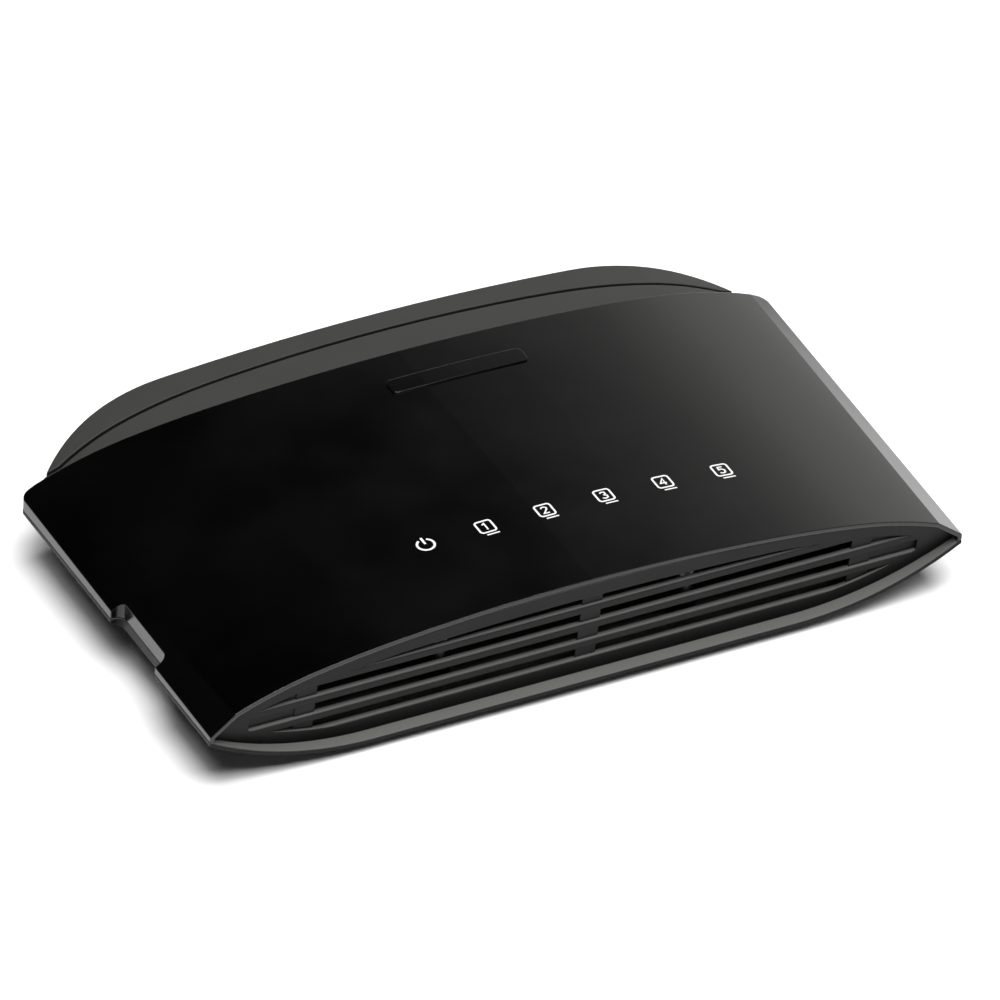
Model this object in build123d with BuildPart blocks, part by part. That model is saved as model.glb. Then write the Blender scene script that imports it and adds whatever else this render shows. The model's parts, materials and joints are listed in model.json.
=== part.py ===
from build123d import *
from math import atan2, cos, hypot, sin, sqrt
import os

os.makedirs("parts", exist_ok=True)

# Frame: X across the case, front face towards -Y, ports towards +Y, +Z up. The origin lies on the
# surface that the case stands on, under the middle of its outer box. All sizes in millimetres.

# --- overall case -------------------------------------------------------------------------------
width = 171.0
depth = 101.0
height = 28.8
foot_height = 2.3
wall = 1.6
corner_radius = 2.0
plan_ease = 0.01                     # keeps the rounded plan from touching the flat sides
seam_gap = 0.3
half_width = width / 2
front_y = -depth / 2
rear_y = depth / 2
floor_z = foot_height
seam_z = 13.3
crest_z = height
rear_crest_z = height - 1.5          # the roof falls slightly towards the ports
cover_depth = 86.7
cover_rear_y = front_y + cover_depth
hood_inset = 0.8                     # the hood and the rear cap sit this far inside the cover

# --- lens-shaped cross-section ------------------------------------------------------------------
roof_radii = (450.0, 560.0)          # across the middle, front and rear
roof_half = 44.0
shoulder_half = 62.0
shoulder_radii = (230.0, 88.0)       # the roof bends down in two steps towards the crease
crease_xs = (80.0, 82.0)             # front and rear
tip_lips = (1.3, 2.6)
floor_half = 48.0
flank_radius = 75.0

# --- notch in the left edge ---------------------------------------------------------------------
notch_length = 20.0
notch_depth = 2.6
notch_y = front_y + 35.0
notch_radius = 1.6

# --- front grille -------------------------------------------------------------------------------
lip = 0.9                            # the cover and the base are thinner around the grille
lip_length = 5.6
grille_clearance = 0.25
grille_setback = 3.0                 # its foot stands behind the base's lip, its top is flush
grille_thickness = 1.2
grille_margin = 3.0
channel_count = 4
channel_half = 76.0
channel_height = 3.0
channel_pitch = 4.85
top_channel_drop = 6.1
ridge_radius = 0.45
arch_radius = 666.0
arch_drop = 3.7
divider_width = 4.6
divider_x = 1.0
slot_half = 60.8
divider_floor = 0.6
blind_floor = 0.85

# --- rear hood and rear cap ---------------------------------------------------------------------
cap_flat_half = 48.0
cap_tip_x = 80.5
groove_tip_x = 76.0
groove_drops = ((60.0, 2.9), (30.0, 0.4))    # how far the groove has fallen at these widths
groove_y = cover_rear_y + 8.2
groove_width = 0.9
groove_step = 1.0                    # the groove starts this far behind the cover at either side
hood_start_y = cover_rear_y + 0.3
tongue_length = 8.0

# --- underside ----------------------------------------------------------------------------------
foot_radius = 5.0
foot_pocket = 0.5
foot_spacing = (82.0, 66.0)
vent_count = 12
vent_pitch = 4.6
vent_size = (1.8, 18.0)
vent_y = -17.0
keyhole_spacing = 80.0
keyhole_y = 6.0
keyhole_radius = 4.0
keyhole_slot_radius = 2.0
keyhole_run = 7.0
label_size = (62.0, 24.0)
label_y = 14.0
label_thickness = 0.12
case_screw_x = 28.0
case_screw_y = -38.0
case_screw_boss_top = 8.0
plate_size = (31.0, 4.6)
plate_x = 8.0
plate_rise = 0.3

# --- circuit board and what it carries ----------------------------------------------------------
board_thickness = 1.6
board_width = 112.0
board_front_y = -32.0
board_rear_y = rear_y - 3.5
board_z = 7.2
board_top = board_z + board_thickness
board_hole_spacing = (100.0, 56.0)
board_hole_y = 2.0
boss_radius = 3.0
screw_radius = 1.25
head_radius = 2.6
head_height = 1.6

port_count = 5
port_pitch = 13.97
port_centre_x = -6.0
port_width = 13.6
port_height = 13.2
port_depth = 16.0
port_face_y = rear_y - 0.3
plug_width = 11.8
plug_height = 6.9
plug_depth = 13.2
latch_width = 6.2
latch_height = 1.6
key_width = 3.2
key_height = 1.5
contacts_per_port = 8
contact_pitch = 1.02
contact_radius = 0.2
shield_thickness = 0.25

jack_x = 41.0
jack_width = 9.0
jack_height = 11.0
jack_depth = 14.0
jack_bore_radius = 3.2
jack_bore_depth = 10.0
jack_pin_radius = 1.0
jack_axis_z = board_top + 6.3

lamp_count = 6
lamp_pitch = 13.5
lamp_first_x = -24.9
lamp_y = front_y + 25.1
lamp_size = (1.6, 0.8, 0.7)
pipe_radius = 1.4
pipe_bar_z = 19.0
pipe_bar_size = (3.2, 2.0)

transformer_size = (12.7, 9.4, 5.8)
transformer_y = 22.0
chip_size = (14.0, 14.0, 1.4)
chip_y = -1.0
lead_count = 16
lead_pitch = 0.8
lead_size = (0.35, 1.4, 0.2)


def line_leaves_circle(point, direction, centre, radius):
    """Where a line that starts inside a circle, or runs through it, leaves it."""
    gap = point - centre
    along = gap.dot(direction)
    return point + direction * (sqrt(along**2 - gap.dot(gap) + radius**2) - along)


def arc_point(centre, radius, x):
    """The upper point of a circle at x, or the lower one where the radius is given as negative."""
    rise = sqrt(radius**2 - (x - centre.X) ** 2)
    return Vector(x, centre.Y + (rise if radius > 0 else -rise))


def lens_face(y, crest, inset=0.0):
    """The closed lens-shaped section of the case in the upright plane at y, offset inwards."""
    end = 0 if crest == crest_z else 1
    roof_radius = roof_radii[end]
    roof_centre = Vector(0, crest - roof_radius)
    roof_end = arc_point(roof_centre, roof_radius, roof_half)
    to_roof_centre = (roof_centre - roof_end).normalized()
    bend_centre = roof_end + to_roof_centre * shoulder_radii[0]
    bend_end = arc_point(bend_centre, shoulder_radii[0], shoulder_half)
    to_bend_centre = (bend_centre - bend_end).normalized()
    edge_centre = bend_end + to_bend_centre * shoulder_radii[1]
    crease = arc_point(edge_centre, shoulder_radii[1], crease_xs[end])
    tip = Vector(half_width, seam_z + tip_lips[end])
    facet = (tip - crease).normalized()
    inward = Vector(facet.Y, -facet.X)
    flank_centre = Vector(floor_half, floor_z + flank_radius)

    roof_end += to_roof_centre * inset
    bend_end += to_bend_centre * inset
    edge_radius = shoulder_radii[1] - inset
    crease = line_leaves_circle(tip + inward * inset, facet * -1, edge_centre, edge_radius)
    bend = arc_point(bend_centre, shoulder_radii[0] - inset, (roof_end.X + bend_end.X) / 2)
    edge = arc_point(edge_centre, edge_radius, (bend_end.X + crease.X) / 2)
    high_tip = line_leaves_circle(crease, facet, flank_centre, flank_radius - inset)
    low_tip = high_tip
    lip_x = half_width - inset
    if high_tip.X > lip_x:
        high_tip = crease + facet * ((lip_x - crease.X) / facet.X)
        low_tip = arc_point(flank_centre, inset - flank_radius, lip_x)
    flank = arc_point(flank_centre, inset - flank_radius, (floor_half + low_tip.X) / 2)
    floor_end = Vector(floor_half, floor_z + inset)

    with BuildSketch(Plane.XZ.offset(-y), mode=Mode.PRIVATE) as section:
        with BuildLine():
            ThreePointArc((-roof_end.X, roof_end.Y), (0, crest - inset), (roof_end.X, roof_end.Y))
            for side in (-1, 1):
                points = [roof_end, bend, bend_end, edge, crease, high_tip, low_tip, flank, floor_end]
                spots = [(side * point.X, point.Y) for point in points]
                ThreePointArc(spots[0], spots[1], spots[2])
                ThreePointArc(spots[2], spots[3], spots[4])
                Line(spots[4], spots[5])
                if high_tip != low_tip:
                    Line(spots[5], spots[6])
                ThreePointArc(spots[6], spots[7], spots[8])
            Line((-floor_end.X, floor_end.Y), (floor_end.X, floor_end.Y))
        make_face()
    return section.sketch


def lens_body(y0, y1, inset=0.0, crest=rear_crest_z):
    """A solid with the lens section, from y0 to y1."""
    return extrude(lens_face(y0, crest, inset), y1 - y0, dir=(0, 1, 0), mode=Mode.PRIVATE)


def roof_body(inset=0.0):
    """The full case section between the front and the cover's rear edge, falling to the rear."""
    front = lens_face(front_y, crest_z, inset)
    rear = lens_face(cover_rear_y, rear_crest_z, inset)
    return loft([front, rear], ruled=True, mode=Mode.PRIVATE)


def cap_plan(shrink=0.0):
    """The rear end of the case seen from above: a flat middle and rounded corners."""
    drop = rear_y - cover_rear_y
    run = cap_tip_x - cap_flat_half
    radius = (run**2 + drop**2) / (2 * drop)
    middle_x = cap_flat_half + run * 0.6
    middle_y = rear_y - radius + sqrt(radius**2 - (run * 0.6) ** 2)
    with BuildSketch(mode=Mode.PRIVATE) as plan:
        with BuildLine():
            Line((-cap_flat_half, rear_y), (cap_flat_half, rear_y))
            for side in (-1, 1):
                corner = (side * cap_flat_half, rear_y)
                tip = (side * cap_tip_x, cover_rear_y)
                ThreePointArc(corner, (side * middle_x, middle_y), tip)
                Line(tip, (side * cap_tip_x, front_y))
            Line((-cap_tip_x, front_y), (cap_tip_x, front_y))
        make_face()
        if shrink:
            offset(amount=-shrink, kind=Kind.INTERSECTION)
    return extrude(plan.sketch, height + 5, mode=Mode.PRIVATE)


def front_plan(shift=0.0):
    """Everything in front of the bowed groove that parts the rear cap from the case."""
    side_y = cover_rear_y + groove_step + shift
    left = (-groove_tip_x, side_y)
    right = (groove_tip_x, side_y)
    with BuildSketch(mode=Mode.PRIVATE) as plan:
        with BuildLine():
            outer_drops = [(-x, groove_y + shift - drop) for x, drop in groove_drops]
            inner_drops = [(x, groove_y + shift - drop) for x, drop in reversed(groove_drops)]
            Spline(left, *outer_drops, (0, groove_y + shift), *inner_drops, right)
            Polyline(right, (width, side_y), (width, -depth), (-width, -depth), (-width, side_y), left)
        make_face()
    return extrude(plan.sketch, height + 5, mode=Mode.PRIVATE)


def case_plan():
    """The cover's outline seen from above, with its rear corners rounded."""
    with BuildSketch(mode=Mode.PRIVATE) as plan:
        with Locations((0, front_y)):
            RectangleRounded(width + 2 * plan_ease, 2 * (cover_depth + plan_ease), corner_radius)
    return extrude(plan.sketch, height + 5, mode=Mode.PRIVATE)


def notch_block(grow=0.0):
    """The block taken out of the left edge, or the larger one that its wall is made from."""
    with BuildSketch(mode=Mode.PRIVATE) as outline:
        with Locations((-half_width, notch_y)):
            size = (2 * (notch_depth + grow), notch_length + 2 * grow)
            RectangleRounded(size[0], size[1], notch_radius + grow)
    return extrude(outline.sketch, height, mode=Mode.PRIVATE)


def save(part, name):
    """Label a finished piece and write it."""
    part.label = name
    export_step(part, f"parts/{name}.step")


on_floor = (Align.CENTER, Align.CENTER, Align.MIN)


def case_cylinder(x, y, radius, z0, z1):
    """An upright cylinder between two heights."""
    upright = Cylinder(radius, z1 - z0, align=on_floor, mode=Mode.PRIVATE)
    return Pos(x, y, z0) * upright


def block(x, y, z, size):
    """A box that stands on the height z."""
    return Pos(x, y, z) * Box(*size, align=on_floor, mode=Mode.PRIVATE)


def grid_spots(spacing, y=0.0):
    """The four corners of a rectangle centred on x = 0."""
    return [(sx * spacing[0] / 2, y + sy * spacing[1] / 2) for sx in (-1, 1) for sy in (-1, 1)]


foot_spots = grid_spots(foot_spacing)
boss_spots = grid_spots(board_hole_spacing, board_hole_y)
case_screw_spots = [(-case_screw_x, case_screw_y), (case_screw_x, case_screw_y)]
port_xs = [port_centre_x + (i - (port_count - 1) / 2) * port_pitch for i in range(port_count)]
lamp_xs = [lamp_first_x + i * lamp_pitch for i in range(lamp_count)]


# --- glossy cover -------------------------------------------------------------------------------
with BuildPart() as top_cover:
    add(roof_body())
    add(roof_body(wall), mode=Mode.SUBTRACT)
    add(lens_body(front_y, front_y + lip_length, lip, crest_z), mode=Mode.SUBTRACT)
    add(notch_block(wall) & roof_body())
    split(bisect_by=Plane.XY.offset(seam_z + seam_gap / 2), keep=Keep.TOP)
    for x, y in case_screw_spots:
        add(case_cylinder(x, y, boss_radius, case_screw_boss_top + 0.2, height) & roof_body(wall / 2))
        add(case_cylinder(x, y, screw_radius, 0, height - 8), mode=Mode.SUBTRACT)
    add(notch_block(), mode=Mode.SUBTRACT)
    add(case_plan(), mode=Mode.INTERSECT)
save(top_cover.part, "top_cover")

# A blank plate stands on the rear of the cover, following its curve.
with BuildPart() as name_plate:
    with BuildSketch(Plane.XY.offset(seam_z)):
        with Locations((plate_x, cover_rear_y - 11.0)):
            RectangleRounded(plate_size[0], plate_size[1], 1.2)
    extrude(amount=height)
    add(roof_body(-plate_rise), mode=Mode.INTERSECT)
    add(roof_body(), mode=Mode.SUBTRACT)
save(name_plate.part, "name_plate")

# --- base shell ---------------------------------------------------------------------------------
with BuildPart() as base_shell:
    add(lens_body(front_y, cover_rear_y, crest=crest_z) & case_plan())
    add(lens_body(cover_rear_y, rear_y, hood_inset) & cap_plan() & front_plan())
    add(lens_body(front_y, cover_rear_y - wall, wall, crest=crest_z), mode=Mode.SUBTRACT)
    add(lens_body(front_y, front_y + lip_length, lip, crest=crest_z), mode=Mode.SUBTRACT)
    add(notch_block(wall) & lens_body(front_y, cover_rear_y, crest=crest_z))
    add(lens_body(cover_rear_y - wall, rear_y, wall + hood_inset), mode=Mode.SUBTRACT)
    split(bisect_by=Plane.XY.offset(seam_z - seam_gap / 2), keep=Keep.BOTTOM)
    for x, y in boss_spots:
        add(case_cylinder(x, y, boss_radius, floor_z + wall / 2, board_z))
        add(case_cylinder(x, y, screw_radius, floor_z + wall, board_z), mode=Mode.SUBTRACT)
    for x, y in case_screw_spots:
        add(case_cylinder(x, y, boss_radius, floor_z + wall / 2, case_screw_boss_top))
        add(case_cylinder(x, y, screw_radius, floor_z, case_screw_boss_top), mode=Mode.SUBTRACT)
        add(case_cylinder(x, y, head_radius, floor_z, floor_z + head_height + 0.4), mode=Mode.SUBTRACT)
    for x, y in foot_spots:
        add(case_cylinder(x, y, foot_radius, floor_z, floor_z + foot_pocket), mode=Mode.SUBTRACT)
    with BuildSketch(Plane.XY.offset(floor_z)):
        with Locations((0, vent_y)):
            with GridLocations(vent_pitch, 1, vent_count, 1):
                SlotOverall(vent_size[1], vent_size[0], rotation=90)
        for side in (-1, 1):
            with Locations((side * keyhole_spacing / 2, keyhole_y)):
                Circle(keyhole_radius)
            with Locations((side * keyhole_spacing / 2, keyhole_y + keyhole_run / 2)):
                SlotCenterToCenter(keyhole_run, 2 * keyhole_slot_radius, rotation=90)
    extrude(amount=wall, mode=Mode.SUBTRACT)
    add(notch_block(), mode=Mode.SUBTRACT)
save(base_shell.part, "base_shell")

# --- front grille -------------------------------------------------------------------------------
# A flat lens-shaped panel leans out at the top. Four channels run across its face. Between the
# dividers they are open, and beyond the end dividers they are shallow and blind. The bars left
# between them have rounded upper edges.
grille_inset = lip + grille_clearance
grille_foot_z = floor_z + grille_inset
grille_rise = crest_z - grille_inset - grille_foot_z
grille_lean = atan2(grille_setback, grille_rise)
grille_length = hypot(grille_setback, grille_rise)
grille_plane = Plane(
    origin=(0, front_y + grille_setback, grille_foot_z),
    x_dir=(1, 0, 0),
    z_dir=(0, -cos(grille_lean), -sin(grille_lean)),
)


def grille_layer(sketch_face, near, far):
    """A sketch on the panel's face, as the solid between two depths behind that face."""
    return extrude(grille_plane.offset(-near) * sketch_face, near - far, mode=Mode.PRIVATE)


def band(x0, x1, v0, v1):
    """A rectangle on the panel's face, between two widths and two heights."""
    with BuildSketch(mode=Mode.PRIVATE) as outline:
        with Locations(((x0 + x1) / 2, (v0 + v1) / 2)):
            Rectangle(x1 - x0, v1 - v0)
    return outline.sketch


channel_lows = [grille_length - top_channel_drop - i * channel_pitch for i in range(channel_count)]
arch_centre_v = grille_length - arch_drop - arch_radius
arch_disc = Pos(0, arch_centre_v) * Circle(arch_radius)
channel_faces = [
    band(-channel_half, channel_half, low, low + channel_height) & arch_disc for low in channel_lows
]
grille_outer = lens_body(front_y - 3, front_y + 12, grille_inset, crest_z)
grille_field = lens_body(front_y - 3, front_y + 12, grille_inset + grille_margin, crest_z)
divider_outer = slot_half + divider_width
divider_edge = divider_width / 2
open_spans = [(-slot_half, divider_x - divider_edge), (divider_x + divider_edge, slot_half)]
blind_spans = [(-channel_half, -divider_outer), (divider_outer, channel_half)]

with BuildPart() as front_grille:
    add(grille_layer(band(-width, width, -5, height + 5), 0, grille_thickness))
    add(grille_outer, mode=Mode.INTERSECT)
    for channel, low in zip(channel_faces, channel_lows):
        add(grille_layer(channel, -1, divider_floor) & grille_field, mode=Mode.SUBTRACT)
        for x0, x1 in open_spans:
            opening = channel & band(x0, x1, 0, height)
            add(grille_layer(opening, -1, grille_thickness + 1) & grille_field, mode=Mode.SUBTRACT)
        arch_reach = sqrt(arch_radius**2 - (low - arch_centre_v) ** 2)
        for x0, x1 in blind_spans if arch_reach > divider_outer else []:
            pocket = channel & band(x0, x1, 0, height)
            add(grille_layer(pocket, -1, blind_floor) & grille_field, mode=Mode.SUBTRACT)
        ridge_strip = Pos(0, -ridge_radius) * channel
        ridge_corner = band(-channel_half, channel_half, low - ridge_radius, low + 0.1)
        ridge_round = Pos(0, low - ridge_radius, -ridge_radius) * Rot(0, 90, 0) * Cylinder(
            ridge_radius, width, mode=Mode.PRIVATE
        )
        ridge = grille_layer(ridge_corner & ridge_strip, -1, ridge_radius) & grille_field
        add(ridge - grille_plane.location * ridge_round, mode=Mode.SUBTRACT)
save(front_grille.part, "front_grille")

# --- rear hood and rear cap ---------------------------------------------------------------------
hood_cavity = hood_inset + wall + 0.4
with BuildPart() as rear_hood:
    add(lens_body(hood_start_y, rear_y, hood_inset) & cap_plan() & front_plan())
    add(lens_body(hood_start_y - tongue_length, hood_start_y, wall + 0.2))
    add(lens_body(hood_start_y - tongue_length, rear_y, hood_cavity), mode=Mode.SUBTRACT)
    split(bisect_by=Plane.XY.offset(seam_z + seam_gap / 2), keep=Keep.TOP)
save(rear_hood.part, "rear_hood")

with BuildPart() as rear_cap:
    add(lens_body(hood_start_y, rear_y, hood_inset) & cap_plan())
    add(front_plan(groove_width), mode=Mode.SUBTRACT)
    cap_cavity = lens_body(hood_start_y - 1, rear_y - 2, hood_inset + wall)
    add(cap_cavity & cap_plan(2.0), mode=Mode.SUBTRACT)
    with BuildSketch(Plane.XZ.offset(-rear_y)):
        with Locations((port_centre_x, board_top + port_height / 2)):
            Rectangle(port_count * port_pitch + 0.8, port_height + 0.8)
        with Locations((jack_x, board_top + jack_height / 2)):
            Rectangle(jack_width + 0.6, jack_height + 0.6)
    extrude(amount=4, both=True, mode=Mode.SUBTRACT)
save(rear_cap.part, "rear_cap")

# --- circuit board ------------------------------------------------------------------------------
board_middle_y = (board_front_y + board_rear_y) / 2
with BuildPart() as main_board:
    with BuildSketch(Plane.XY.offset(board_z)):
        with Locations((0, board_middle_y)):
            RectangleRounded(board_width, board_rear_y - board_front_y, 2.0)
        with Locations(boss_spots):
            Circle(screw_radius + 0.25, mode=Mode.SUBTRACT)
    extrude(amount=board_thickness)
save(main_board.part, "main_board")

with BuildPart() as board_screws:
    for x, y in boss_spots:
        add(case_cylinder(x, y, screw_radius, floor_z + wall + 0.2, board_top))
        add(case_cylinder(x, y, head_radius, board_top, board_top + head_height))
save(board_screws.part, "board_screws")

with BuildPart() as case_screws:
    for x, y in case_screw_spots:
        add(case_cylinder(x, y, head_radius, floor_z + 0.3, floor_z + head_height + 0.4))
        add(case_cylinder(x, y, screw_radius, floor_z + head_height + 0.4, height - 10))
save(case_screws.part, "case_screws")

# --- sockets ------------------------------------------------------------------------------------
opening_z = board_top + 2.2
for number, x in enumerate(port_xs, start=1):
    with BuildPart() as lan_socket:
        add(block(x, port_face_y - port_depth / 2, board_top, (port_width, port_depth, port_height)))
        with BuildSketch(Plane.XZ.offset(-port_face_y)):
            with Locations((x, opening_z + plug_height / 2)):
                Rectangle(plug_width, plug_height)
            with Locations((x, opening_z + plug_height + latch_height / 2)):
                Rectangle(latch_width, latch_height)
            with Locations((x, opening_z + plug_height + latch_height + key_height / 2)):
                Rectangle(key_width, key_height)
        extrude(amount=plug_depth, mode=Mode.SUBTRACT)
    save(lan_socket.part, f"lan_socket_{number}")

# Eight spring wires slope up and back from the mouth's floor in every socket.
with BuildPart() as socket_contacts:
    for x in port_xs:
        for i in range(contacts_per_port):
            wire_x = x + (i - (contacts_per_port - 1) / 2) * contact_pitch
            start = Vector(wire_x, port_face_y - 3.0, opening_z + contact_radius)
            end = Vector(wire_x, port_face_y - plug_depth + 0.4, opening_z + 3.0)
            with BuildSketch(Plane(origin=start, z_dir=end - start)):
                Circle(contact_radius)
            extrude(amount=(end - start).length)
save(socket_contacts.part, "socket_contacts")

with BuildPart() as socket_shield:
    shield_width = port_count * port_pitch
    shield_y = port_face_y - port_depth / 2
    outside = (shield_width + 2 * shield_thickness, port_depth, port_height + shield_thickness)
    inside = (shield_width, port_depth + 2, port_height + 1)
    add(block(port_centre_x, shield_y, board_top, outside))
    add(block(port_centre_x, shield_y, board_top - 1, inside), mode=Mode.SUBTRACT)
save(socket_shield.part, "socket_shield")

# --- power inlet --------------------------------------------------------------------------------
jack_plane = Plane.XZ.offset(-port_face_y)
with BuildPart() as power_jack:
    add(block(jack_x, port_face_y - jack_depth / 2, board_top, (jack_width, jack_depth, jack_height)))
    with BuildSketch(jack_plane):
        with Locations((jack_x, jack_axis_z)):
            Circle(jack_bore_radius)
    extrude(amount=jack_bore_depth, mode=Mode.SUBTRACT)
save(power_jack.part, "power_jack")

with BuildPart() as jack_pin:
    with BuildSketch(jack_plane.offset(jack_bore_depth)):
        with Locations((jack_x, jack_axis_z)):
            Circle(jack_pin_radius)
    extrude(amount=1.0 - jack_bore_depth)
    fillet(jack_pin.faces().sort_by(Axis.Y)[-1].edges(), 0.5)
save(jack_pin.part, "jack_pin")

# --- parts soldered to the board ----------------------------------------------------------------
for number, x in enumerate(port_xs, start=1):
    with BuildPart() as transformer:
        add(block(x, transformer_y, board_top, transformer_size))
        chamfer(transformer.faces().sort_by(Axis.Z)[-1].edges(), 0.4)
    save(transformer.part, f"line_transformer_{number}")

with BuildPart() as switch_chip:
    add(block(0, chip_y, board_top + 0.1, chip_size))
    chamfer(switch_chip.edges().filter_by(Axis.Z), 0.6)
save(switch_chip.part, "switch_chip")

with BuildPart() as chip_leads:
    for turn in range(4):
        for i in range(lead_count):
            offset_x = (i - (lead_count - 1) / 2) * lead_pitch
            lead = block(offset_x, chip_size[1] / 2 + lead_size[1] / 2, board_top, lead_size)
            add(Pos(0, chip_y, 0) * Rot(0, 0, 90 * turn) * lead)
save(chip_leads.part, "chip_leads")

with BuildPart() as crystal:
    with BuildSketch(Plane.XY.offset(board_top)):
        with Locations((18.0, -8.0)):
            SlotOverall(11.0, 4.6)
    extrude(amount=3.5)
    fillet(crystal.faces().sort_by(Axis.Z)[-1].edges(), 0.5)
save(crystal.part, "crystal")

capacitor_spots = [(36.0, 20.0, 3.15, 7.0), (45.0, 16.0, 4.0, 9.0), (40.0, 6.0, 3.15, 7.0)]
for number, (x, y, radius, tall) in enumerate(capacitor_spots, start=1):
    with BuildPart() as capacitor:
        add(case_cylinder(x, y, radius, board_top, board_top + tall))
        fillet(capacitor.faces().sort_by(Axis.Z)[-1].edges(), 0.5)
    save(capacitor.part, f"capacitor_{number}")

with BuildPart() as inductor:
    add(block(30.0, 8.0, board_top, (7.0, 7.0, 3.6)))
    fillet(inductor.edges().filter_by(Axis.Z), 1.4)
save(inductor.part, "inductor")

with BuildPart() as regulator:
    add(block(29.0, -4.0, board_top + 0.1, (5.0, 4.0, 1.5)))
    chamfer(regulator.faces().sort_by(Axis.Z)[-1].edges(), 0.25)
save(regulator.part, "regulator")

with BuildPart() as small_components:
    for row in range(3):
        for i in range(9):
            size = (1.6, 0.8, 0.5) if (row + i) % 3 else (2.0, 1.25, 0.8)
            add(block(-42.0 + 3.6 * i, -14.0 + 4.5 * row, board_top, size))
save(small_components.part, "small_components")

# --- indicators ---------------------------------------------------------------------------------
for number, x in enumerate(lamp_xs, start=1):
    with BuildPart() as lamp:
        add(block(x, lamp_y, board_top, lamp_size))
    save(lamp.part, f"lamp_{number}")

# One clear moulding carries the light of all the lamps to the roof.
with BuildPart() as light_guide:
    bar_middle = (lamp_xs[0] + lamp_xs[-1]) / 2
    bar_length = lamp_xs[-1] - lamp_xs[0] + 7.0
    add(block(bar_middle, lamp_y, pipe_bar_z, (bar_length, *pipe_bar_size)))
    for x in lamp_xs:
        add(case_cylinder(x, lamp_y, pipe_radius, board_top + lamp_size[2] + 0.3, height))
    for side in (-1, 1):
        leg_x = bar_middle + side * (bar_length / 2 - 1.2)
        add(block(leg_x, lamp_y, board_top, (2.4, pipe_bar_size[0], pipe_bar_z - board_top)))
    add(roof_body(wall + 0.2), mode=Mode.INTERSECT)
save(light_guide.part, "light_guide")

# --- underside pieces ---------------------------------------------------------------------------
for number, (x, y) in enumerate(foot_spots, start=1):
    with BuildPart() as foot:
        add(case_cylinder(x, y, foot_radius - 0.1, 0, floor_z + foot_pocket))
        fillet(foot.faces().sort_by(Axis.Z)[0].edges(), 0.6)
    save(foot.part, f"rubber_foot_{number}")

with BuildPart() as rating_label:
    with BuildSketch(Plane.XY.offset(floor_z - label_thickness)):
        with Locations((0, label_y)):
            RectangleRounded(*label_size, 1.5)
    extrude(amount=label_thickness)
save(rating_label.part, "rating_label")
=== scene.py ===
from math import cos, radians, sin, sqrt

import bpy
import json
from mathutils import Matrix, Vector


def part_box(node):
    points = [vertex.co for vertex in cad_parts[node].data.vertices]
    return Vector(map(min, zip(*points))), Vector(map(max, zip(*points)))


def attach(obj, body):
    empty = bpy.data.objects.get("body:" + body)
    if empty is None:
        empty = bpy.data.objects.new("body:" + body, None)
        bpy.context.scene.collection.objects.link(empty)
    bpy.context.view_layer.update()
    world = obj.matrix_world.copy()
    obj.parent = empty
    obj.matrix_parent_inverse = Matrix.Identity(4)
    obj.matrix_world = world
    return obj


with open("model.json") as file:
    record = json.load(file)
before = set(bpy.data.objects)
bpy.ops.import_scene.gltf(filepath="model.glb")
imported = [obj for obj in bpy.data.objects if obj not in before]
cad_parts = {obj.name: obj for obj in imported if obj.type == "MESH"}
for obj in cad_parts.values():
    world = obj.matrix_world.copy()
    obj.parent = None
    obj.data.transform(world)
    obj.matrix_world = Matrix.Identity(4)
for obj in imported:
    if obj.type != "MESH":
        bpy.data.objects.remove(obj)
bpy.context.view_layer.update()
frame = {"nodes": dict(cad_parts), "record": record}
nodes = frame["nodes"]
MM = 0.001

# ---------------------------------------------------------------- places taken from the frame
case_low, case_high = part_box("top_cover")
COVER_FRONT_Y = case_low.y
COVER_REAR_Y = case_high.y

# ---------------------------------------------------------------- the cover's roof, in millimetres
ROOF_RADII = (450.0, 560.0)    # across the middle, at the front and at the rear
ROOF_FALL = 1.5                # from the front to the rear
# distances from the middle, with sideways slopes listed close to what the arcs give
SLOPE_STOPS = ((22, 0.046), (44, 0.095), (54, 0.135), (62, 0.182), (72, 0.285), (80, 0.38))
SLOPE_REACH = 100.0            # where the last slope stands, past the cover's edge
END_SLOPE = 0.6

# ---------------------------------------------------------------- shading of normals and edges
FACES_UP = (0.88, 0.92)        # a unit normal's upward part where the smooth roof normal takes over
EDGE_RADIUS = 0.4 * MM         # how far hard edges are softened in the shading

# ---------------------------------------------------------------- camera
AZIMUTH = radians(-29.16)
ELEVATION = radians(36.66)
AIM_Z = 14 * MM
ROLL = radians(3.4)
DISTANCE = 4.632
LENS = 820.4
SENSOR = 36.0
AIM = Vector((0.0, (COVER_FRONT_Y + COVER_REAR_Y) / 2, AIM_Z))
FRAMING = (1.805 * MM, 4.016 * MM)


def add_camera():
    """A long-lens camera at the photograph's angle, with its small roll."""
    back = Vector((sin(AZIMUTH) * cos(ELEVATION), -cos(AZIMUTH) * cos(ELEVATION), sin(ELEVATION)))
    level = Vector((cos(AZIMUTH), sin(AZIMUTH), 0))
    rise = back.cross(level)
    right = level * cos(ROLL) + rise * sin(ROLL)
    up = rise * cos(ROLL) - level * sin(ROLL)
    data = bpy.data.cameras.new("camera")
    data.lens = LENS
    data.sensor_width = SENSOR
    data.clip_start = 0.1
    data.clip_end = 100.0
    camera = bpy.data.objects.new("camera", data)
    bpy.context.scene.collection.objects.link(camera)
    turn = Matrix((right, up, back)).transposed().to_4x4()
    place = AIM + right * FRAMING[0] + up * FRAMING[1] + back * DISTANCE
    camera.matrix_world = Matrix.Translation(place) @ turn
    bpy.context.scene.camera = camera


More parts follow.
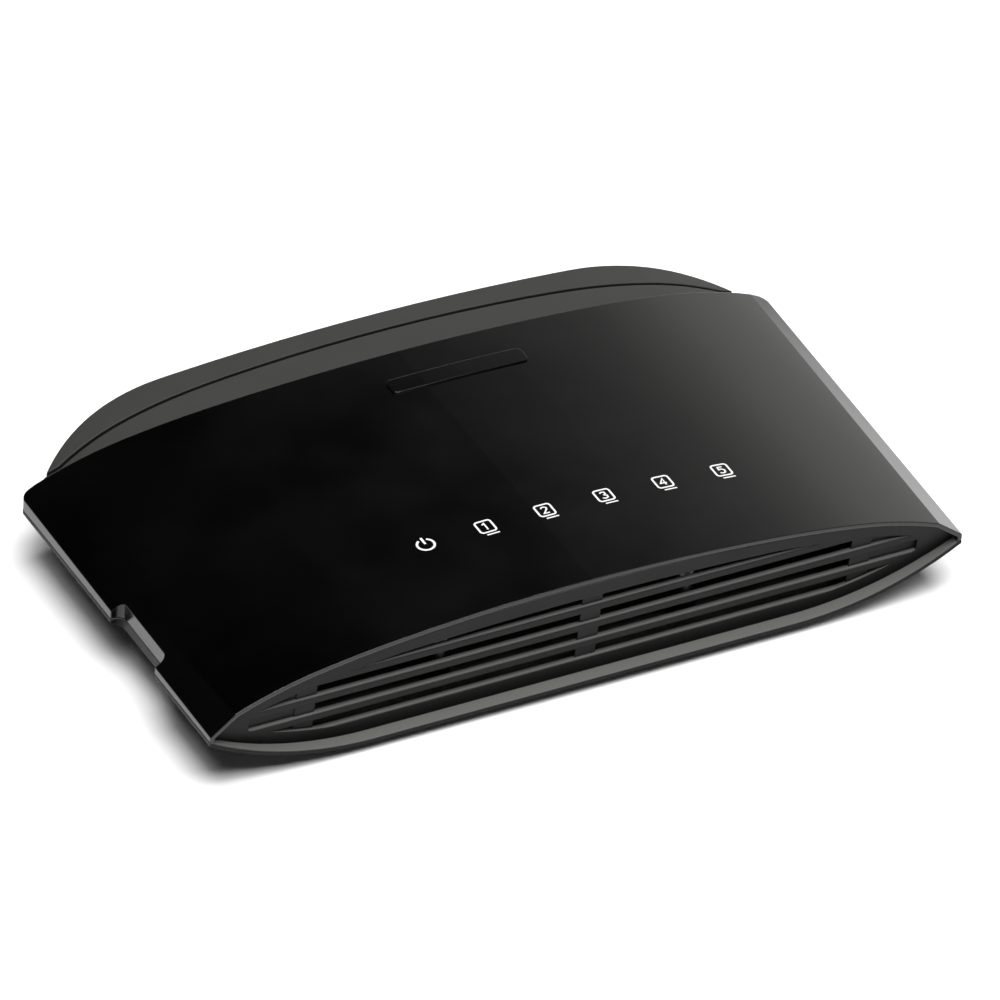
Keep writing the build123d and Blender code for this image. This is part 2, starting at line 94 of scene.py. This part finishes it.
# ---------------------------------------------------------------- material helpers
def new_material(name):
    """A node material with its output and its principled shader."""
    material = bpy.data.materials.new(name)
    material.use_nodes = True
    tree = material.node_tree
    tree.nodes.clear()
    output = tree.nodes.new("ShaderNodeOutputMaterial")
    shader = tree.nodes.new("ShaderNodeBsdfPrincipled")
    tree.links.new(shader.outputs["BSDF"], output.inputs["Surface"])
    return material, tree, shader


def coordinates(tree, scale=(1, 1, 1)):
    """Object coordinates in metres, stretched by scale."""
    source = tree.nodes.new("ShaderNodeTexCoord")
    mapping = tree.nodes.new("ShaderNodeMapping")
    mapping.inputs["Scale"].default_value = scale
    tree.links.new(source.outputs["Object"], mapping.inputs["Vector"])
    return mapping.outputs["Vector"]


def noise(tree, vector, scale, detail=4.0, roughness=0.55):
    """A noise texture's value."""
    node = tree.nodes.new("ShaderNodeTexNoise")
    node.inputs["Scale"].default_value = scale
    node.inputs["Detail"].default_value = detail
    node.inputs["Roughness"].default_value = roughness
    tree.links.new(vector, node.inputs["Vector"])
    return node.outputs["Fac"]


def spread(tree, value, low, high, start=0.3, end=0.7, interpolation="LINEAR"):
    """Maps a value between start and end onto low to high."""
    node = tree.nodes.new("ShaderNodeMapRange")
    node.interpolation_type = interpolation
    node.inputs["From Min"].default_value = start
    node.inputs["From Max"].default_value = end
    node.inputs["To Min"].default_value = low
    node.inputs["To Max"].default_value = high
    tree.links.new(value, node.inputs["Value"])
    return node.outputs["Result"]


def two_colours(tree, value, first, second, start=0.35, end=0.65):
    """Blends two colours by a value."""
    node = tree.nodes.new("ShaderNodeValToRGB")
    node.color_ramp.elements[0].position = start
    node.color_ramp.elements[0].color = (*first, 1)
    node.color_ramp.elements[1].position = end
    node.color_ramp.elements[1].color = (*second, 1)
    tree.links.new(value, node.inputs["Fac"])
    return node.outputs["Color"]


def rounded_normal(tree):
    """A normal that softens hard edges in the shading."""
    node = tree.nodes.new("ShaderNodeBevel")
    node.samples = 6
    node.inputs["Radius"].default_value = EDGE_RADIUS
    return node.outputs["Normal"]


def bump(tree, value, distance, normal=None):
    """A bump normal from a height value, with its depth in metres, on top of a given normal."""
    node = tree.nodes.new("ShaderNodeBump")
    node.inputs["Distance"].default_value = distance
    tree.links.new(value, node.inputs["Height"])
    if normal:
        tree.links.new(normal, node.inputs["Normal"])
    return node.outputs["Normal"]


def split_xyz(tree, vector):
    """A vector's three parts."""
    node = tree.nodes.new("ShaderNodeSeparateXYZ")
    tree.links.new(vector, node.inputs["Vector"])
    return node.outputs


def mix(tree, kind, share, first, second):
    """Blends a socket with a second socket or a plain value, as vectors or as colours."""
    node = tree.nodes.new("ShaderNodeMix")
    node.data_type = kind
    tree.links.new(share, node.inputs["Factor"])
    tree.links.new(first, node.inputs["A"])
    if isinstance(second, tuple):
        node.inputs["B"].default_value = second
    else:
        tree.links.new(second, node.inputs["B"])
    return node.outputs["Result"]


def math_node(tree, operation, first, second=0.0):
    """One step of arithmetic on a value and a value or a number."""
    node = tree.nodes.new("ShaderNodeMath")
    node.operation = operation
    tree.links.new(first, node.inputs[0])
    if isinstance(second, float):
        node.inputs[1].default_value = second
    else:
        tree.links.new(second, node.inputs[1])
    return node.outputs["Value"]


def slope_ramp(tree, reach):
    """The roof's sideways slope at a distance from its middle, eased between the listed stops."""
    ramp = tree.nodes.new("ShaderNodeValToRGB")
    stops = ramp.color_ramp
    stops.interpolation = "B_SPLINE"
    stops.elements[0].position = 0.0
    stops.elements[0].color = (0, 0, 0, 1)
    stops.elements[1].position = 1.0
    stops.elements[1].color = (END_SLOPE, END_SLOPE, END_SLOPE, 1)
    for distance, slope in SLOPE_STOPS:
        stops.elements.new(distance / SLOPE_REACH).color = (slope, slope, slope, 1)
    tree.links.new(math_node(tree, "MULTIPLY", reach, 1 / (SLOPE_REACH * MM)), ramp.inputs["Fac"])
    return ramp.outputs["Color"]


def roof_normal(tree, bevelled):
    """Close to the roof's own normal where it faces up, but without steps where its arcs meet.

    The eased ramp starts a little above zero, so a step of about a degree stays at the middle.
    """
    across = split_xyz(tree, coordinates(tree))["X"]
    slope = slope_ramp(tree, math_node(tree, "ABSOLUTE", across))
    smooth = tree.nodes.new("ShaderNodeCombineXYZ")
    tree.links.new(math_node(tree, "MULTIPLY", slope, math_node(tree, "SIGN", across)), smooth.inputs["X"])
    smooth.inputs["Y"].default_value = ROOF_FALL * MM / (COVER_REAR_Y - COVER_FRONT_Y)
    smooth.inputs["Z"].default_value = 1.0
    unit = tree.nodes.new("ShaderNodeVectorMath")
    unit.operation = "NORMALIZE"
    tree.links.new(smooth.outputs["Vector"], unit.inputs[0])
    share = spread(tree, split_xyz(tree, bevelled)["Z"], 0.0, 1.0, *FACES_UP)
    return mix(tree, "VECTOR", share, bevelled, unit.outputs["Vector"])


def gloss_cover():
    """Piano-black polished plastic with a faint haze and moulding waviness."""
    material, tree, shader = new_material("cover_gloss")
    place = coordinates(tree)
    haze = noise(tree, place, 38.0, 3.0)
    shader.inputs["IOR"].default_value = 1.5
    colour = two_colours(tree, haze, (0.0004, 0.0004, 0.0004), (0.0009, 0.0009, 0.0009))
    tree.links.new(colour, shader.inputs["Base Color"])
    tree.links.new(spread(tree, haze, 0.15, 0.2), shader.inputs["Roughness"])
    wave = noise(tree, place, 60.0, 1.0)
    ripple = bump(tree, wave, 0.0000015, roof_normal(tree, rounded_normal(tree)))
    tree.links.new(ripple, shader.inputs["Normal"])
    return material


def matte_shell(name, colour, grain=1.0, painted_top_light=None, gleam=0.5):
    """Spark-textured moulded plastic, drawn lighter on what faces up as a painted top light."""
    material, tree, shader = new_material(name)
    place = coordinates(tree)
    fine = noise(tree, place, 4200.0, 2.0, 0.6)
    patches = noise(tree, place, 90.0, 4.0)
    darker = tuple(0.86 * channel for channel in colour)
    lighter = tuple(1.12 * channel for channel in colour)
    body = two_colours(tree, patches, darker, lighter)
    if painted_top_light:
        # painted top light: faces that point up are blended towards a lighter colour
        top_light_share = spread(tree, split_xyz(tree, rounded_normal(tree))["Z"], 0.0, 1.0, 0.2, 1.0)
        body = mix(tree, "RGBA", top_light_share, body, (*painted_top_light, 1))
    tree.links.new(body, shader.inputs["Base Color"])
    shader.inputs["Specular IOR Level"].default_value = gleam
    tree.links.new(spread(tree, patches, 0.4, 0.5), shader.inputs["Roughness"])
    tree.links.new(bump(tree, fine, 0.00002 * grain, rounded_normal(tree)), shader.inputs["Normal"])
    return material


def print_white():
    """Opaque white pad-printing ink, very slightly uneven."""
    material, tree, shader = new_material("print_white")
    place = coordinates(tree)
    cover = noise(tree, place, 2500.0, 2.0)
    colour = two_colours(tree, cover, (0.62, 0.63, 0.62), (0.74, 0.75, 0.74))
    tree.links.new(colour, shader.inputs["Base Color"])
    tree.links.new(spread(tree, cover, 0.4, 0.55), shader.inputs["Roughness"])
    tree.links.new(bump(tree, cover, 0.000003), shader.inputs["Normal"])
    return material


def metal(name, colour, roughness, stretch=(1, 1, 1)):
    """Metal with a faint drawn or brushed grain."""
    material, tree, shader = new_material(name)
    shader.inputs["Metallic"].default_value = 1.0
    place = coordinates(tree, stretch)
    grain = noise(tree, place, 1500.0, 3.0)
    darker = tuple(0.8 * channel for channel in colour)
    tree.links.new(two_colours(tree, grain, darker, colour), shader.inputs["Base Color"])
    tree.links.new(spread(tree, grain, 0.8 * roughness, 1.3 * roughness), shader.inputs["Roughness"])
    tree.links.new(bump(tree, grain, 0.000004), shader.inputs["Normal"])
    return material


def clear_guide():
    """Clear acrylic, a little milky inside."""
    material, tree, shader = new_material("guide_clear")
    place = coordinates(tree)
    haze = noise(tree, place, 600.0, 2.0)
    shader.inputs["Transmission Weight"].default_value = 0.85
    shader.inputs["IOR"].default_value = 1.49
    colour = two_colours(tree, haze, (0.8, 0.84, 0.84), (0.9, 0.93, 0.93))
    tree.links.new(colour, shader.inputs["Base Color"])
    tree.links.new(spread(tree, haze, 0.05, 0.18), shader.inputs["Roughness"])
    return material


def board_mask():
    """Very dark green solder mask, with slightly brighter copper-backed areas."""
    material, tree, shader = new_material("board_green")
    place = coordinates(tree)
    cells = tree.nodes.new("ShaderNodeTexVoronoi")
    cells.distance = "MANHATTAN"
    cells.inputs["Scale"].default_value = 160.0
    tree.links.new(place, cells.inputs["Vector"])
    mask = (0.001, 0.008, 0.003)
    mask_over_copper = (0.002, 0.014, 0.005)
    colour = two_colours(tree, cells.outputs["Distance"], mask, mask_over_copper, 0.2, 0.4)
    tree.links.new(colour, shader.inputs["Base Color"])
    tree.links.new(spread(tree, noise(tree, place, 900.0), 0.28, 0.4), shader.inputs["Roughness"])
    return material


def make_materials():
    """The finished material of every record slot, and a copy of the shell plastic for the hood and cap,
    with a lighter body colour and a weaker painted top light.
    """
    return {
        "cover_gloss": gloss_cover(),
        # the lighter colours given for upward faces of the two shell plastics are painted top light
        "shell_matte": matte_shell(
            "shell_matte", (0.002, 0.00205, 0.0019), painted_top_light=(0.125, 0.127, 0.119), gleam=0.15
        ),
        "hood_matte_weak_top_light": matte_shell(
            "hood_matte_weak_top_light", (0.012, 0.0124, 0.0118), painted_top_light=(0.03, 0.0305, 0.029), gleam=0.3
        ),
        "socket_plastic": matte_shell("socket_plastic", (0.012, 0.012, 0.012), 0.5),
        "foot_rubber": matte_shell("foot_rubber", (0.02, 0.02, 0.02), 2.0),
        "label_film": matte_shell("label_film", (0.5, 0.51, 0.51), 0.3),
        "chip_black": matte_shell("chip_black", (0.02, 0.02, 0.021), 1.5),
        "chip_tan": matte_shell("chip_tan", (0.3, 0.22, 0.14), 0.5),
        "lamp_body": matte_shell("lamp_body", (0.8, 0.8, 0.7), 0.3),
        "shield_steel": metal("shield_steel", (0.6, 0.6, 0.58), 0.28, (1, 8, 1)),
        "bright_steel": metal("bright_steel", (0.62, 0.62, 0.63), 0.22),
        "capacitor_can": metal("capacitor_can", (0.75, 0.75, 0.76), 0.3, (1, 1, 6)),
        "contact_gold": metal("contact_gold", (0.9, 0.67, 0.3), 0.2),
        "guide_clear": clear_guide(),
        "board_green": board_mask(),
    }


# nodes that get a copy of their slot's plastic, with a lighter body colour and a weaker painted top light
NODE_MATERIALS = {"rear_hood": "hood_matte_weak_top_light", "rear_cap": "hood_matte_weak_top_light"}


def dress_nodes(materials):
    """Gives every CAD node its finished material, and smooth curved faces."""
    for part in frame["record"]["subparts"]:
        mesh = nodes[part["node"]].data
        mesh.materials.clear()
        mesh.materials.append(materials[NODE_MATERIALS.get(part["node"], part["material_slot"])])
        for polygon in mesh.polygons:
            polygon.use_smooth = True
        mesh.set_sharp_from_angle(angle=radians(22))


# ---------------------------------------------------------------- stage
BANK_FADE = (0.36, 0.59)       # a direction's upward part where the bright bank fades out


def add_floor():
    """A plain pale floor."""
    mesh = bpy.data.meshes.new("floor")
    reach = 6.0
    corners = [(-reach, -reach, 0), (reach, -reach, 0), (reach, reach, 0), (-reach, reach, 0)]
    mesh.from_pydata(corners, [], [(0, 1, 2, 3)])
    floor = bpy.data.objects.new("floor", mesh)
    bpy.context.scene.collection.objects.link(floor)
    material, tree, shader = new_material("floor_paper")
    shader.inputs["Roughness"].default_value = 0.9
    shader.inputs["Specular IOR Level"].default_value = 0.1
    grain = noise(tree, coordinates(tree), 30.0, 2.0)
    colour = two_colours(tree, grain, (0.9, 0.9, 0.9), (0.93, 0.93, 0.93))
    tree.links.new(colour, shader.inputs["Base Color"])
    mesh.materials.append(material)


def add_light(name, direction, distance, size, power):
    """A rectangular studio light that points at the case."""
    data = bpy.data.lights.new(name, "AREA")
    data.shape = "RECTANGLE"
    data.size, data.size_y = size
    data.energy = power
    light = bpy.data.objects.new(name, data)
    bpy.context.scene.collection.objects.link(light)
    away = Vector(direction).normalized()
    light.location = away * distance
    light.rotation_euler = away.to_track_quat("Z", "Y").to_euler()


def add_world(low_light, back_light):
    """Soft surrounding light, with a broad bright bank low down behind the case."""
    world = bpy.data.worlds.new("studio")
    world.use_nodes = True
    bpy.context.scene.world = world
    tree = world.node_tree
    background = tree.nodes["Background"]
    source = tree.nodes.new("ShaderNodeTexCoord")
    direction = split_xyz(tree, source.outputs["Generated"])
    height_fade = spread(tree, direction["Z"], 1.0, 0.0, *BANK_FADE, "SMOOTHSTEP")
    back_fade = spread(tree, direction["Y"], low_light, back_light, -0.1, 0.5)
    side_fade = spread(tree, direction["X"], 0.12, 1.0, -0.1, 0.35)
    strength = math_node(tree, "MULTIPLY", math_node(tree, "MULTIPLY", height_fade, back_fade), side_fade)
    tree.links.new(strength, background.inputs["Strength"])
    background.inputs["Color"].default_value = (1.0, 1.0, 0.98, 1)


# ---------------------------------------------------------------- printed marks
# in millimetres; a digit's points are measured from the middle of its frame
ICON_FIRST_X = -24.9
ICON_PITCH = 13.5
ICON_Y = COVER_FRONT_Y / MM + 25.1
INK = 0.03
FRAME_LINE = 0.42
THIN_LINE = 0.36
POWER_LINE = 0.5
DIGITS = {
    1: [[(-0.45, 0.7), (0.1, 1.1), (0.1, -1.1)]],
    2: [[(-0.6, 0.65), (-0.35, 1.0), (0.2, 1.05), (0.6, 0.7), (0.5, 0.2), (-0.6, -1.05), (0.65, -1.05)]],
    3: [
        [(-0.6, 0.8), (-0.15, 1.1), (0.45, 0.95), (0.5, 0.35), (-0.05, 0.08)],
        [(-0.05, 0.08), (0.6, -0.25), (0.55, -0.85), (-0.05, -1.1), (-0.65, -0.8)],
    ],
    4: [[(0.3, -1.1), (0.3, 1.05), (-0.7, -0.4), (0.7, -0.4)]],
    5: [
        [
            (0.55, 1.05), (-0.45, 1.05), (-0.5, 0.2), (0.1, 0.35),
            (0.6, -0.1), (0.5, -0.85), (0.0, -1.1), (-0.65, -0.85),
        ]
    ],
}


def roof_height(x, y):
    """The height of the roof between its shoulders at x and y, in millimetres."""
    share = (y * MM - COVER_FRONT_Y) / (COVER_REAR_Y - COVER_FRONT_Y)
    front_drop, rear_drop = [radius - sqrt(radius**2 - x**2) for radius in ROOF_RADII]
    return case_high.z / MM - share * ROOF_FALL - (1 - share) * front_drop - share * rear_drop


def arc(centre, radius, start, end, steps=40):
    """Points along a circle's arc, with its angles in degrees."""
    turns = [radians(start + (end - start) * step / steps) for step in range(steps + 1)]
    return [(centre[0] + radius * cos(turn), centre[1] + radius * sin(turn)) for turn in turns]


def stroke_quads(path, width, closed):
    """Left and right edges of a line of constant width along a path, mitred at its bends."""
    edges = []
    count = len(path)
    for i, (x, y) in enumerate(path):
        before = path[i - 1] if i or closed else path[i]
        after = path[(i + 1) % count] if i < count - 1 or closed else path[i]
        into = Vector((x - before[0], y - before[1]))
        out = Vector((after[0] - x, after[1] - y))
        into = into.normalized() if into.length else out.normalized()
        out = out.normalized() if out.length else into
        along = (into + out).normalized()
        side = Vector((-along.y, along.x))
        reach = width / 2 / max(0.5, along.dot(out))
        edges.append(((x + side.x * reach, y + side.y * reach), (x - side.x * reach, y - side.y * reach)))
    return edges


def print_mark(name, centre, strokes, material):
    """White lines that lie on the roof. Each stroke is a path, a line width and whether it closes."""
    points = []
    faces = []
    for path, width, closed in strokes:
        start = len(points)
        edges = stroke_quads(path, width, closed)
        for pair in edges:
            for x, y in pair:
                spot = (centre[0] + x, centre[1] + y)
                points.append((spot[0] * MM, spot[1] * MM, (roof_height(*spot) + INK) * MM))
        spans = len(edges) if closed else len(edges) - 1
        for i in range(spans):
            a = start + 2 * i
            b = start + 2 * ((i + 1) % len(edges))
            faces.append((a, a + 1, b + 1, b))
    mesh = bpy.data.meshes.new(name)
    mesh.from_pydata(points, [], faces)
    mesh.materials.append(material)
    mark = bpy.data.objects.new(name, mesh)
    bpy.context.scene.collection.objects.link(mark)
    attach(mark, "root")


def add_marks(material):
    """The power symbol and the five numbered port symbols near the front of the cover."""
    ring = (arc((0, 0), 1.8, 118, 422), POWER_LINE, False)
    bar = ([(0, 0.2), (0, 2.4)], POWER_LINE, False)
    print_mark("print_power", (ICON_FIRST_X, ICON_Y), [ring, bar], material)
    half_width, half_height, corner = 1.75, 1.9, 0.65
    corners = [(1, 1, 0), (-1, 1, 90), (-1, -1, 180), (1, -1, 270)]
    frame_path = []
    for side_x, side_y, start in corners:
        centre = (side_x * (half_width - corner), side_y * (half_height - corner))
        frame_path += arc(centre, corner, start, start + 90, 6)
    foot = ([(-0.95, -2.75), (1.85, -2.75)], THIN_LINE, False)
    for number, paths in DIGITS.items():
        digit = [(path, THIN_LINE, False) for path in paths]
        strokes = [(frame_path, FRAME_LINE, True), foot, *digit]
        centre = (ICON_FIRST_X + number * ICON_PITCH, ICON_Y)
        print_mark(f"print_port_{number}", centre, strokes, material)


add_camera()
materials = make_materials()
dress_nodes(materials)
add_floor()
add_marks(print_white())
add_world(low_light=0.3, back_light=0.9)
add_light("top", direction=(0.0, -0.1, 1.0), distance=1.8, size=(1.5, 1.0), power=34.0)
add_light("front", direction=(-0.1, -0.5, 1.0), distance=1.8, size=(1.7, 0.7), power=30.0)
bpy.context.scene.view_settings.view_transform = "Standard"
